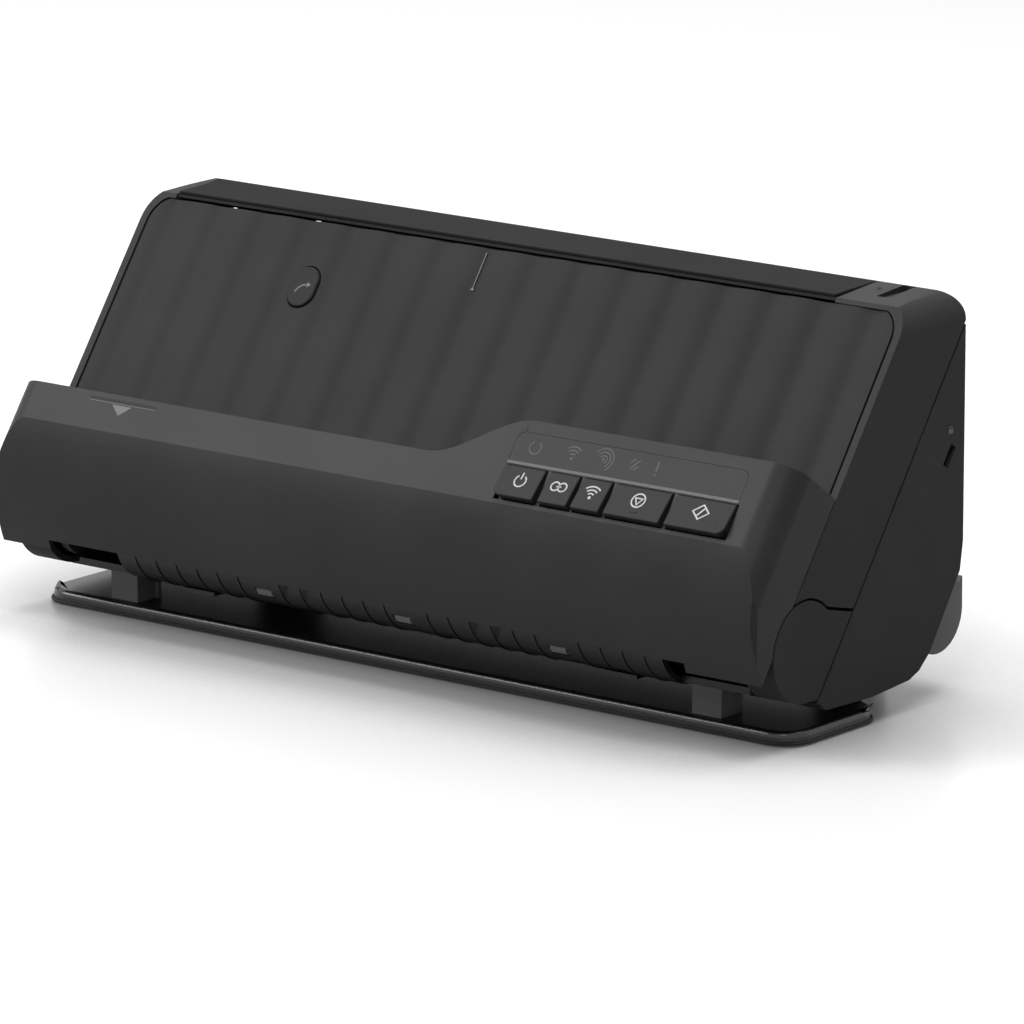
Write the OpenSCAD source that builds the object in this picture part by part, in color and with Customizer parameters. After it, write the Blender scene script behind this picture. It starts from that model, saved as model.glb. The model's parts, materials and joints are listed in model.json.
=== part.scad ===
// Sheet fed document scanner.
// A leaning scan unit stands on a flat base.  Sheets go in under the top flap, run down
// the slanted path between the cover and the rear body, turn round the lower drum and come
// up between the front cover and the ribbed panel.
// Axes: X across the machine, +Y to the back, +Z up.  The origin is under the middle of the
// whole machine, on the surface that it stands on.

/* [Overall] */
// Width across the sides
machine_w = 300; // [290:1:320]
// Angle of the slanted faces from the vertical
lean = 35.6; // [35:0.1:36]
// Distance of the cover hinge in front of the origin
hinge_back = 31; // [30.5:0.1:31.5]
// Height of the cover hinge
hinge_h = 29.2; // [29:0.1:29.6]
// Height of the top of the closed input tray
top_h = 126.4; // [126:0.1:127]
// How far the front and the back stand from the origin
half_depth = 56.4; // [56:0.1:57]
// Wall thickness of the moulded shells
wall = 2.5; // [2:0.1:2.8]

/* [Paper path] */
// Distance of the ribbed panel in front of the hinge, square to the lean
panel_v = 13.4; // [13:0.1:13.6]
// Distance of the split behind the hinge, square to the lean
split_v = 14.8; // [14.6:0.1:15]
// Width of the paper guides
guide_w = 216; // [210:1:216]
// Height of the waves of the ribbed panel
wave_h = 0.7; // [0.4:0.1:0.9]
// Number of waves across the ribbed panel
waves = 16; // [14:1:18]

/* [Front cover] */
// Distance of the upper face in front of the ribbed panel
pocket = 24; // [23:0.5:24.5]
// Radius of the bulging lower face
bulge_r = 53; // [52:0.5:56]
// Height of the bottom edge
cover_bottom = 21; // [20.5:0.1:21.5]
// Place of the plain top edge up the slope
low_edge = 28.8; // [27:0.1:29.5]
// Place of the control panel's top edge up the slope
high_edge = 44.2; // [43.9:0.1:45]
// Radius of the upper corners
corner_r = 9; // [7:0.5:10]

/* [Buttons] */
// Height of the button row up the slope
button_h = 10.6; // [9:0.1:10.6]
// Lower end of the button row up the slope
button_u = 18.1; // [18:0.1:18.5]
// How far a button's lower end stands out of the cover
button_out = 2.4; // [2:0.1:2.6]

/* [Base] */
// Width of the base
base_w = 298; // [290:1:300]
// Front edge of the base, in front of the origin
base_front = 36.1; // [35:0.1:38]
// Thickness of the upper layer
base_t = 3.2; // [2.8:0.1:3.3]
// Radius of the base corners
base_r = 10; // [8:0.5:12]
// Distance of the tilt shaft behind the origin
tilt_y = 43.6; // [43.4:0.1:43.6]
// Height of the tilt shaft
tilt_z = 26; // [25.8:0.1:26.2]

/* [Hidden] */

$fn = 64;
half_w = machine_w / 2;
hinge_y = -hinge_back;
seam = 0.4;                    // half of a visible seam between shells
fit = 0.08;                    // radial play of a shaft or pin that turns
clear = 0.3;                   // gap between curved faces that pass each other
eps = 0.01;

// paper path, in slope coordinates: v to the back, u up the slope, both from the hinge
front_face_v = 13.3;           // paper side of the front guide
rear_face_v = 15.3;            // paper side of the rear guide
guide_t = 2;
drum_r = 11;
turn_in = 14;                  // inner and outer radius of the guide round the turn
turn_out = 16;
cap_r = 15.6;
feed_u = 86;
feed_r = 7.5;
feed_v = 14.45 + feed_r;
transport_u = 42;
transport_r = 6;
transport_v = 14.45 + transport_r;
pinch_v = 14.15 - transport_r;
separation_v = 14.15 - feed_r;
exit_r = 2.5;
exit_pin_r = 1.2;
exit_dist = drum_r + clear + exit_r;
exit_dir = 219;                // degrees from +Y, seen from +X
exit_y = hinge_y + exit_dist * cos(exit_dir);
exit_z = hinge_h + exit_dist * sin(exit_dir);
sensor_u = 56;
sensor_h = 16;
sensor_d = 11;
glass_t = 1.8;
shaft_r = 3;
idle_r = 2;
pin_r = 5;
motor_y = 10;
motor_z = 30;
motor_r = 14;
motor_shaft_r = 1.5;
belt_t = 1.2;

// drive: the motor gear turns the transport shaft, a belt takes that to the feed shaft,
// and a second belt turns the drum from the motor
gear_teeth = 32;
pinion_teeth = 11;
feed_pulley_r = 5;
transport_pulley_r = 4;
drum_pulley_r = 5;
motor_pulley_r = 6.7;
gear_x = [-146.8, -143.6];
feed_belt_x = [-142.8, -139.8];
drum_belt_x = [-139.3, -136.7];

// where things stand across the machine
frame_in = 133;
frame_out = 136;
cap_in = 138;
cover_eye = [123, 130];
front_eye = [112, 119];
arm_in = 104;
arm_out = 145;
leg_out = 120;
barrel_r = 12.8;
tilt_r = 4;
lug_x = [92, 103.5];
post_x = [110.1, 121.3];
post_y = [-33.9, -23.2];
post_top = 14.2;

// input tray
flap_x = [-139, 122];
tray_y = 49.6;
tray_z = 116;
knuckle_r = 3.2;
tray_pin_r = 1.8;
flap_back_r = 8;
flap_front = [21.2, 123.7];
flap_heel = [46.9, 116.45];     // lower end of the tray's paper face
mouth_r = 107.2;               // nothing of the cover under the flap reaches further out

// front cover
zone_v = -panel_v - pocket;
bulge_y = -half_depth + bulge_r;
bulge_z = 43;
notch_x = [-130, 122];
notch_top = 26;
rise_x = [17, 52];
flat_from = 24;                // the upper face is flat from here up the slope
edge_cut = 1.5;                // chamfer down the side edges of the bulging face

// control panel: left and right end of each button at its top edge, and slant
button_x = [[48, 63.4], [65.6, 76.4], [78.0, 88.6], [90.4, 111.2], [113.2, 135]];
window_x = [47.5, 135];
window_u = [30.4, 40.2];
window_t = 0.8;
strip_u = 29.3;                // lower edge of the light strip under the window
base_z = 1.4;
base_top = base_z + base_t;
rear_y = 49.5;
steel = "silver";
dark = [0.17, 0.17, 0.18];
black = [0.09, 0.09, 0.1];
grey = [0.5, 0.5, 0.52];
light = [0.62, 0.62, 0.64];

// ---------- building helpers ----------

// a flat outline in (Y, Z) made solid from x0 to x1
module across(x0, x1) {
    rotate([90, 0, 90]) translate([0, 0, x0]) linear_extrude(x1 - x0) children();
}

// the same outline on both sides of the machine
module both_sides(x0, x1) {
    across(x0, x1) children();
    across(-x1, -x0) children();
}

// slope coordinates (v, u) to (Y, Z), flat and in space
module slope2d() {
    translate([hinge_y, hinge_h]) rotate(-lean) children();
}

module slope() {
    translate([0, hinge_y, hinge_h]) rotate([-lean, 0, 0]) children();
}

function slope_y(v, u) = hinge_y + u * sin(lean) + v * cos(lean);
function slope_z(v, u) = hinge_h + u * cos(lean) - v * sin(lean);

module box(lo, hi) {
    translate(lo) cube(hi - lo);
}

module rounded(w, d, r) {
    square([w - 2 * r, d], center = true);
    square([w, d - 2 * r], center = true);
    for (x = [-1, 1], y = [-1, 1])
        translate([x * (w / 2 - r), y * (d / 2 - r)]) circle(r);
}

// a shaft along X at (v, u) on the slope
module rod(v, u, r, x0, x1) {
    slope() translate([x0, v, u]) rotate([0, 90, 0]) cylinder(r = r, h = x1 - x0);
}

module rod_yz(y, z, r, x0, x1) {
    translate([x0, y, z]) rotate([0, 90, 0]) cylinder(r = r, h = x1 - x0);
}

// ---------- stand ----------

module base_outline(grow) {
    front_d = 46.6;
    translate([0, -base_front + front_d / 2])
        rounded(base_w + 2 * grow, front_d + 2 * grow, base_r);
    translate([0, 22]) rounded(2 * leg_out + 2 * grow, 60 + 2 * grow, base_r);
}

module base_plate() {
    color(black) difference() {
        translate([0, 0, base_z]) linear_extrude(base_t) base_outline(0);
        for (x = [-1, 1], y = [40, 48])
            translate([x * 112, y, 0]) cylinder(r = 1.6, h = 10);
    }
}

module base_skirt() {
    color(dark) translate([0, 0, 0.5]) linear_extrude(base_z - 0.5) difference() {
        base_outline(0.7);
        base_outline(-5);
    }
}

module foot_pads() {
    color([0.2, 0.2, 0.2])
        for (p = [[130, -23], [130, -1], [103, 40], [0, -25], [0, 40]], s = [-1, 1])
            if (p[0] > 0 || s > 0)
                translate([s * p[0], p[1], 0]) cylinder(r = 5, h = base_z);
}

module front_posts() {
    color(light) for (s = [-1, 1]) scale([s, 1, 1]) {
        box([post_x[0], post_y[0], base_top], [post_x[1], post_y[1], post_top]);
        translate([0, post_y[1], 0]) rotate([90, 0, 0]) linear_extrude(2)
            polygon([[post_x[0] - 0.8, post_top], [post_x[0] - 0.8, base_top],
                     [post_x[0], base_top], [post_x[0], post_top]]);
    }
}

// leg, and the barrel that holds the tilt shaft
module rear_arms() {
    corner = [half_depth - tilt_y, 9.3];
    color(light) difference() {
        union() {
            both_sides(arm_in, arm_out) translate([tilt_y, tilt_z]) {
                circle(barrel_r);
                polygon([[0, 0], [corner[0], -0.5], corner]);
            }
            both_sides(arm_in, leg_out)
                polygon([[36, base_top], [51.5, base_top], [51.5, tilt_z - 8], [36, tilt_z - 8]]);
        }
        for (s = [-1, 1]) {
            rod_yz(tilt_y, tilt_z, tilt_r, s * 122 - 30, s * 122 + 18.5);
            for (y = [40, 48])
                translate([s * 112, y, base_top - eps]) cylinder(r = 1.3, h = 7);
        }
    }
}

module tilt_shafts() {
    color(steel) {
        rod_yz(tilt_y, tilt_z, tilt_r, 92.5, 140.5);
        rod_yz(tilt_y, tilt_z, tilt_r, -140.5, -92.5);
    }
}

module base_screws() {
    color(steel) for (s = [-1, 1], y = [40, 48]) translate([s * 112, y, base_z]) {
        cylinder(r = 1.3, h = base_t + 6);
    }
}

// ---------- rear body ----------

// place up the slope where the split meets the back wall
rear_top_u = (rear_y - hinge_y - (split_v + seam) * cos(lean)) / sin(lean);

module rear_outline() {
    polygon([
        [rear_y, slope_z(split_v + seam, rear_top_u)], [rear_y, 48.6], [48, 39.3], [32.7, 16.6], [27.4, 12.1],
        [22.1, 10], [3.5, 8.6], [-20.1, 9.3], [-23.2, 11.6],
        [slope_y(split_v + seam, -10.2), slope_z(split_v + seam, -10.2)]
    ]);
}

module rear_space() {
    polygon([
        [rear_y - wall, 130], [rear_y - wall, 49.2], [45.6, 40.4], [30.9, 18.6],
        [26, 14.6], [21.6, 12.5], [3.5, 11.1], [-19.4, 11.8], [-40, 11.8],
        [-40, 29], [10, 130]
    ]);
}

lock_u = 62;
rim_top = 115.95;

module rear_cover() {
    color(dark) difference() {
        union() {
            difference() {
                across(-half_w, half_w) rear_outline();
                across(wall - half_w, half_w - wall) rear_space();
            }
            // rim under the tray, below the way of the sheets
            for (x = [[-138, -123.4], [-102.6, 102.6]]) across(x[0], x[1])
                polygon([[rear_y - 1.3, 112.5], [rear_y - 1.3, 115.3], [rear_y - 0.7, rim_top],
                         [rear_y, rim_top], [rear_y, 112.5]]);
            // wall round the channel of the tilt barrels
            both_sides(90, half_w - wall + eps) intersection() {
                rear_outline();
                translate([tilt_y, tilt_z]) circle(barrel_r + clear + wall);
            }
        }
        both_sides(91.5, arm_out + clear) translate([tilt_y, tilt_z])
            circle(barrel_r + clear);
        // lock slot in the right side
        translate([half_w - wall - 1, 41.8, 76]) rotate([-lean, 0, 0])
            box([0, -1.5, -3.6], [wall + 2, 1.5, 3.6]);
        // openings for the inlets in the back
        box([56, rear_y - wall - 1, 55], [66, rear_y + 1, 59.5]);
        translate([84, rear_y + 1, 57.2]) rotate([90, 0, 0])
            cylinder(r = 4.2, h = wall + 2);
        for (x = [-128, 128], z = [56, 100])
            translate([x, rear_y + 1, z]) rotate([90, 0, 0]) cylinder(r = 1.7, h = wall + 2);
        // room for the hinge of the tray
        both_sides(103.6, 122.4) translate([tray_y, tray_z]) circle(knuckle_r + clear);
        both_sides(110.7, 117.9) translate([rear_y - wall - 1, 108]) square([wall + 2, 12]);
        // room for the posts of the stand
        both_sides(post_x[0] - 1, post_x[1] + 1)
            translate([-40, 0]) square([post_y[1] + 40.6, post_top + 0.5]);
        // vents
        for (i = [-4:4]) box([i * 9 - 62, rear_y - wall - 1, 66], [i * 9 - 58, rear_y + 1, 84]);
    }
}

module cover_screws() {
    color(steel) for (x = [-128, 128], z = [56, 100])
        translate([x, rear_y, z]) rotate([90, 0, 0]) cylinder(r = 1.7, h = 7);
}

module frame_outline() {
    difference() {
        union() {
            intersection() {
                rear_space();
                polygon([
                    [slope_y(rear_face_v + 0.4, 100), slope_z(rear_face_v + 0.4, 100)],
                    [46.6, 104], [46.6, 50], [24, 42], [22, 13.2], [-19, 12.4],
                    [slope_y(rear_face_v + 0.4, -9), slope_z(rear_face_v + 0.4, -9)]
                ]);
            }
            translate([hinge_y, hinge_h]) circle(12.5);
            polygon([[hinge_y - 6, hinge_h + 6], [hinge_y + 14, hinge_h + 2],
                     [hinge_y + 24, hinge_h - 6], [-6, 14], [-28, 17]]);
        }
        translate([hinge_y, hinge_h]) circle(pin_r);
        slope2d() {
            translate([feed_v, feed_u]) circle(shaft_r + fit);
            translate([transport_v, transport_u]) circle(shaft_r + fit);
        }
    }
}

module left_frame() {
    color(steel) difference() {
        across(-frame_out, -frame_in) frame_outline();
        rod_yz(motor_y, motor_z, 3, -frame_out - 1, -frame_in + 1);
    }
}

module right_frame() {
    color(steel) across(frame_in, frame_out) frame_outline();
}

// hollow pins that the cover and the front cover turn on
module pivot_pins() {
    color(steel) for (s = [-1, 1]) difference() {
        rod_yz(hinge_y, hinge_h, pin_r, s * 123.2 - 13, s * 123.2 + 13);
        rod_yz(hinge_y, hinge_h, shaft_r + fit, s * 123.2 - 14, s * 123.2 + 14);
    }
}

module cap_outline(r) {
    grow = r - cap_r;
    difference() {
        union() {
            translate([hinge_y, hinge_h]) circle(r);
            polygon([
                [-35.4, 43.9 + grow], [-7.3 + grow * 1.5, 37.1 + grow],
                [slope_y(split_v - seam + grow, -9), slope_z(split_v - seam + grow, -9)],
                [hinge_y, hinge_h - r], [hinge_y, hinge_h]
            ]);
        }
        slope2d() translate([split_v - seam + grow, -40]) square([20, 100]);
    }
}

module side_caps() {
    color(dark) difference() {
        both_sides(cap_in, half_w) cap_outline(cap_r);
        both_sides(cap_in - 1, half_w - wall) cap_outline(cap_r - 2);
        // way for the belt to the drum
        across(-half_w + wall, -cap_in + 1) translate([-20, 21]) square([24, 17.4]);
    }
}

// ears of the rear body on the tilt shafts
module tilt_lugs() {
    color(dark) difference() {
        both_sides(lug_x[0], lug_x[1]) {
            translate([tilt_y, tilt_z]) circle(barrel_r);
            intersection() {
                translate([tilt_y, tilt_z]) circle(barrel_r + clear);
                rear_outline();
            }
        }
        both_sides(lug_x[0] - 1, lug_x[1] + 1) translate([tilt_y, tilt_z])
            circle(tilt_r + fit);
    }
}

module guide_windows(v0, v1, u, r, xs) {
    for (x = xs) slope() box([x[0] - 1, v0, u - r], [x[1] + 1, v1, u + r]);
}

feed_tyres = [[-30, -8], [8, 30]];
transport_tyres = [[-64, -46], [46, 64]];
exit_tyres = [[-52, -46], [3.5, 9.5], [64, 70]];
exit_shaft_x = [-60, 78];

module rear_guide() {
    color(black) difference() {
        slope() box([-guide_w / 2 - 10, rear_face_v, -3],
                    [guide_w / 2 + 10, rear_face_v + guide_t, 106]);
        guide_windows(rear_face_v - 1, rear_face_v + guide_t + 1, feed_u, 8, feed_tyres);
        guide_windows(rear_face_v - 1, rear_face_v + guide_t + 1, transport_u, 6.6,
                      transport_tyres);
        slope() box([-guide_w / 2 - 1, rear_face_v - 1, sensor_u - sensor_h / 2],
                    [guide_w / 2 + 1, rear_face_v + guide_t + 1, sensor_u + sensor_h / 2]);
        rod(feed_v, feed_u, shaft_r + 1, -130, 130);
        rod(transport_v, transport_u, shaft_r + 1, -130, 130);
    }
}

// outer half of the turn, with the pads that rest on the front posts
module exit_guide() {
    color([0.13, 0.13, 0.14]) difference() {
        union() {
            across(-guide_w / 2, guide_w / 2) {
                turn_ring(turn_in, turn_out, 0);
                // lip that leads from the rear guide into the turn
                slope2d() polygon([[17.2, -3.1], [rear_face_v, -3.1], [13.5, -5.3], [14.5, -5.7]]);
            }
            for (s = [-1, 1])
                box([s * 120.3 - 12.7, -35.5, post_top + 0.15], [s * 120.3 + 12.7, -18, 16.6]);
            // low ribs along the paper's way, and two tabs
            for (i = [-12:12]) if ((i + 6) % 7 != 0) across(i * 8.4 - 0.5, i * 8.4 + 0.5)
                turn_ring(turn_out - 0.5, turn_out + 0.3, 2);
            for (x = [-80, 87]) box([x - 6.5, -39.4, 13.6], [x + 6.5, -33.5, 14.8]);
        }
        for (x = exit_tyres) rod_yz(exit_y, exit_z, exit_r + clear, x[0] - 0.6, x[1] + 0.6);
        rod_yz(exit_y, exit_z, exit_pin_r + fit, exit_shaft_x[0] - 1, exit_shaft_x[1] + 1);
    }
}

// lower part of a ring round the hinge; its ends stand further down by the given length
module turn_ring(r0, r1, down) {
    difference() {
        translate([hinge_y, hinge_h]) circle(r1);
        translate([hinge_y, hinge_h]) circle(r0);
        slope2d() polygon([[-40, -3.3 - down], [0, -3.3 - down], [0, -5 - down],
                           [40, -5 - down], [40, 40], [-40, 40]]);
    }
}

module tray_brackets() {
    guide_back = rear_face_v + guide_t + 0.05;
    color(dark) difference() {
        both_sides(111, 117.6) {
            translate([tray_y, tray_z]) circle(knuckle_r);
            polygon([
                [slope_y(guide_back, 97), slope_z(guide_back, 97)],
                [slope_y(guide_back, 106.2), slope_z(guide_back, 106.2)],
                [tray_y - 3, tray_z - 0.8], [tray_y - 0.2, tray_z - 3.19],
                [rear_y - 0.1, 108.2], [rear_y - wall, 108.2], [rear_y - wall, 96]
            ]);
        }
        rod_yz(tray_y, tray_z, tray_pin_r + fit, -120, 120);
    }
}

module sensor_block(v0, v1) {
    slope() box([-guide_w / 2, v0, sensor_u - sensor_h / 2 + 0.5],
                [guide_w / 2, v1, sensor_u + sensor_h / 2 - 0.5]);
}

module rear_sensor() {
    color([0.22, 0.23, 0.25]) sensor_block(rear_face_v + glass_t, rear_face_v + glass_t + sensor_d);
}

module rear_glass() {
    color("lightblue") sensor_block(rear_face_v, rear_face_v + glass_t);
}

module main_board() {
    color("green") difference() {
        box([-50, 44.2, 53], [96, 45.8, 76]);
        // notches round the two inlets
        box([56.2, 44, 50], [65.8, 46, 59.4]);
        box([79.8, 44, 50], [88.2, 46, 61.4]);
    }
    color([0.1, 0.1, 0.1]) {
        box([-30, 42.6, 57], [-14, 44.2, 73]);
        box([-4, 43, 60], [8, 44.2, 70]);
    }
    color(light) box([20, 40.6, 64], [44, 44.2, 70]);
}

module usb_inlet() {
    color(steel) difference() {
        box([56.4, 40, 55.4], [65.6, rear_y - 0.2, 59.1]);
        box([57.1, 42, 56.1], [64.9, rear_y + 1, 58.4]);
    }
}

module dc_inlet() {
    color(black) difference() {
        union() {
            box([78.5, 36, 52], [89.5, 44.2, 62.4]);
            translate([84, rear_y - 0.2, 57.2]) rotate([90, 0, 0]) cylinder(r = 4, h = 6);
        }
        translate([84, rear_y, 57.2]) rotate([90, 0, 0]) cylinder(r = 2.8, h = 10);
    }
    color(steel) translate([84, rear_y - 2, 57.2]) rotate([90, 0, 0]) cylinder(r = 0.8, h = 9);
}

module drive_motor() {
    color(grey) difference() {
        rod_yz(motor_y, motor_z, motor_r, -frame_in, -106);
        rod_yz(motor_y, motor_z, motor_shaft_r + fit, -frame_in - 1, -frame_in + 6);
    }
}

feed_c = [slope_y(feed_v, feed_u), slope_z(feed_v, feed_u)];
transport_c = [slope_y(transport_v, transport_u), slope_z(transport_v, transport_u)];
motor_c = [motor_y, motor_z];
drum_c = [hinge_y, hinge_h];
gear_pitch = norm(transport_c - motor_c) / (gear_teeth + pinion_teeth);   // half the module
mesh_dir = atan2(transport_c[1] - motor_c[1], transport_c[0] - motor_c[0]);

// teeth with straight flanks; a tooth stands at the angle start
module gear_view(teeth, start) {
    r = gear_pitch * teeth;
    step = 360 / teeth;
    polygon([for (i = [0:teeth - 1]) each [
        for (c = [[-0.31, -2.3], [-0.2, 0], [-0.1, 1.6], [0.1, 1.6], [0.2, 0], [0.31, -2.3]])
            let (a = start + (i + c[0]) * step, q = r + c[1] * gear_pitch)
            [q * cos(a), q * sin(a)]
    ]]);
}

module motor_gear() {
    color(steel) {
        rod_yz(motor_y, motor_z, motor_shaft_r, gear_x[0], -frame_in + 5);
        rod_yz(motor_y, motor_z, motor_pulley_r, drum_belt_x[0], drum_belt_x[1]);
    }
    color(light) across(gear_x[0], gear_x[1])
        translate(motor_c) gear_view(gear_teeth, mesh_dir);
}

// a band round two pulleys
module belt_view(a, b, ra, rb) {
    difference() {
        hull() {
            translate(a) circle(ra + clear + belt_t);
            translate(b) circle(rb + clear + belt_t);
        }
        hull() {
            translate(a) circle(ra + clear);
            translate(b) circle(rb + clear);
        }
    }
}

module feed_belt() {
    color(black) across(feed_belt_x[0], feed_belt_x[1])
        belt_view(transport_c, feed_c, transport_pulley_r, feed_pulley_r);
}

module drum_belt() {
    color(black) across(drum_belt_x[0], drum_belt_x[1])
        belt_view(motor_c, drum_c, motor_pulley_r, drum_pulley_r);
}

module feed_roller() {
    color(steel) rod(feed_v, feed_u, shaft_r, feed_belt_x[0], 136.2);
    color(black) for (x = feed_tyres) rod(feed_v, feed_u, feed_r, x[0], x[1]);
    color(light) rod(feed_v, feed_u, feed_pulley_r, feed_belt_x[0], feed_belt_x[1]);
}

module transport_roller() {
    color(steel) rod(transport_v, transport_u, shaft_r, gear_x[0], 136.2);
    color(black) for (x = transport_tyres) rod(transport_v, transport_u, transport_r, x[0], x[1]);
    color(light) {
        rod(transport_v, transport_u, transport_pulley_r, feed_belt_x[0], feed_belt_x[1]);
        across(gear_x[0], gear_x[1]) translate(transport_c)
            gear_view(pinion_teeth, mesh_dir + 180 + 180 / pinion_teeth);
    }
}

module exit_roller() {
    color(steel) rod_yz(exit_y, exit_z, exit_pin_r, exit_shaft_x[0], exit_shaft_x[1]);
    color(light) for (x = exit_tyres) rod_yz(exit_y, exit_z, exit_r, x[0], x[1]);
}

module drum_roller() {
    color(steel) rod_yz(hinge_y, hinge_h, shaft_r, drum_belt_x[0], 118);
    color([0.25, 0.25, 0.26]) for (x = exit_tyres) rod_yz(hinge_y, hinge_h, drum_r, x[0], x[1]);
    color(light) rod_yz(hinge_y, hinge_h, drum_pulley_r, drum_belt_x[0], drum_belt_x[1]);
}

// ---------- scanner cover ----------

split_front = [-36.2, 45.0];
split_rear = [-6.2, 37.9];

// side view of the cover between its two slanted faces
module cover_outline(v0, v1, in) {
    edge_r = 8;
    top = top_h - in;
    intersection() {
        slope2d() translate([v0, 0]) square([v1 - v0, 130]);
        union() {
            translate([-60, split_rear[1]]) {
                square([60 + rear_y - edge_r, top - split_rear[1]]);
                square([60 + rear_y - in, top_h - edge_r - split_rear[1]]);
            }
            translate([rear_y - edge_r, top_h - edge_r]) circle(edge_r - in);
            polygon([split_front, split_rear, [0, 60], [-60, 60], [-60, 50.6]]);
        }
        polygon([[-60, 50.6], split_front, split_rear, [60, 37], [60, top], [42, top],
                 [flap_front[0], flap_front[1] + 1.1 - in], [-60, flap_front[1] - 5 - in]]);
    }
}

// front view: square at the foot, round at the top corners
module cover_front_view(r, side, top) {
    w = machine_w - 2 * side;
    translate([-w / 2, 0]) square([w, top - r]);
    translate([-w / 2 + r, 0]) square([w - 2 * r, top]);
    for (s = [-1, 1]) translate([s * (w / 2 - r), top - r]) circle(r);
}

module front_to_back(y0, y1) {
    translate([0, y1, 0]) rotate([90, 0, 0]) linear_extrude(y1 - y0) children();
}

module cover_shell() {
    skin = 2;
    color(dark) difference() {
        intersection() {
            across(-half_w, half_w) cover_outline(-panel_v, split_v - seam, 0);
            front_to_back(-60, 60) cover_front_view(10, 0, top_h);
        }
        // the hollow inside the shell, open to the front and to the paper path
        intersection() {
            across(wall - half_w, half_w - wall) cover_outline(-panel_v - 5, split_v + 5, wall);
            front_to_back(-60, 60) cover_front_view(8, wall, top_h - wall);
            union() {
                across(-half_w, half_w) {
                    translate([hinge_y, hinge_h]) circle(mouth_r - skin, $fn = 128);
                    intersection() {
                        translate([hinge_y, hinge_h]) circle(mouth_r, $fn = 128);
                        slope2d() translate([front_face_v - guide_t, 0]) square([60, 140]);
                    }
                }
                across(flap_x[1] + seam + skin, half_w) translate([-60, 0]) square(150);
                across(-half_w, flap_x[0] - seam - skin) translate([-60, 0]) square(150);
            }
        }
        // room for the tray, and for the panel's edge under it
        across(flap_x[0] - seam, flap_x[1] + seam) {
            difference() {
                translate([-40, 60]) square([120, 80]);
                translate([hinge_y, hinge_h]) circle(mouth_r, $fn = 128);
            }
            slope2d() translate([-panel_v - 1, 30]) square([panel_t + 1.3, 100]);
        }
        intersection() {
            across(wall - half_w, half_w - wall) intersection() {
                slope2d() translate([-panel_v - 1, 30]) square([panel_t + 1.3, 100]);
                translate([hinge_y, hinge_h]) circle(mouth_r, $fn = 128);
            }
            front_to_back(-60, 60) cover_front_view(8, wall, top_h - wall);
        }
        both_sides(cap_in - 0.5, half_w + 1) translate([hinge_y, hinge_h])
            circle(cap_r + 2 * seam);
        // finger slot in the top of the right corner
        box([132, 28, top_h - 2], [136.5, 43, top_h + 1]);
    }
    // inner ribs that carry the guide and the panel
    color(dark) for (s = [-1, 1]) intersection() {
        across(s * 131.5 - 1.25, s * 131.5 + 1.25)
            cover_outline(-panel_v + panel_t + 0.1, front_face_v, 0);
        across(-half_w, half_w) translate([hinge_y, hinge_h]) circle(mouth_r - skin);
        box([-half_w, -60, 50], [half_w, 60, 140]);
    }
    color(dark) across(-half_w + wall, half_w - wall) slope2d()
        translate([-panel_v + panel_t + 0.1, 24]) square([20, 2.5]);
}

panel_in = 3.3;                // from the side of the cover to the ribbed panel
panel_t = 1.8;                 // thickness of the ribbed panel
panel_foot = 14;

// depth of a wave below its crest: broad crests, narrow valleys
function wave(x) =
    let (a = 360 * waves * x / (machine_w - 2 * panel_in))
    wave_h * (0.8 - cos(a) + 0.2 * cos(2 * a)) / 2;

module ribbed_panel() {
    w = machine_w - 2 * panel_in;
    n = 176;
    color([0.2, 0.2, 0.21]) difference() {
        intersection() {
            slope() translate([0, 0, panel_foot]) linear_extrude(100) polygon(concat(
                [for (i = [0:n]) let (x = -w / 2 + w * i / n) [x, -panel_v + 0.1 + wave(x)]],
                [[w / 2, panel_t - panel_v], [-w / 2, panel_t - panel_v]]));
            front_to_back(-60, 60) cover_front_view(7.2, panel_in, top_h - wall - 0.6);
            across(-half_w, half_w) translate([hinge_y, hinge_h])
                circle(mouth_r - 0.2, $fn = 128);
        }
        slope() translate([release_x, -30, release_u]) rotate([-90, 0, 0])
            linear_extrude(40) stadium(release_w + 0.8, release_l + 0.8);
    }
}

module stadium(w, l) {
    r = w / 2;
    square([w, l - w], center = true);
    for (s = [-1, 1]) translate([0, s * (l / 2 - r)]) circle(r);
}

release_x = -75;
release_u = 83.5;
release_w = 10.4;
release_l = 14;

// oval button that frees the cover
module release_button() {
    color([0.19, 0.19, 0.2]) slope() translate([release_x, -panel_v - 0.5, release_u])
        rotate([-90, 0, 0]) {
            linear_extrude(4.5) stadium(release_w, release_l);
            translate([0, 0, 4.4]) cylinder(r = 2, h = 8);
        }
}

module front_guide() {
    color(black) difference() {
        union() {
            slope() box([-guide_w / 2 - 10, front_face_v - guide_t, 1],
                        [guide_w / 2 + 10, front_face_v, 104]);
            // bearings of the two idle rollers
            for (s = [-1, 1]) slope() {
                box([s * 38 - 1.5, separation_v - 3, feed_u - 3.5],
                    [s * 38 + 1.5, front_face_v - guide_t / 2, feed_u + 3.5]);
                box([s * 72 - 1.5, pinch_v - 3, transport_u - 3.5],
                    [s * 72 + 1.5, front_face_v - guide_t / 2, transport_u + 3.5]);
            }
        }
        for (x = exit_tyres) rod_yz(hinge_y, hinge_h, drum_r + 1, x[0] - 0.8, x[1] + 0.8);
        rod(separation_v, feed_u, idle_r + fit, -41, 41);
        rod(pinch_v, transport_u, idle_r + fit, -75, 75);
        guide_windows(front_face_v - guide_t - 1, front_face_v + 1, feed_u, 8, feed_tyres);
        guide_windows(front_face_v - guide_t - 1, front_face_v + 1, transport_u, 6.6,
                      transport_tyres);
        slope() box([-guide_w / 2 - 1, 5, sensor_u - sensor_h / 2],
                    [guide_w / 2 + 1, 20, sensor_u + sensor_h / 2]);
    }
}

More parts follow.
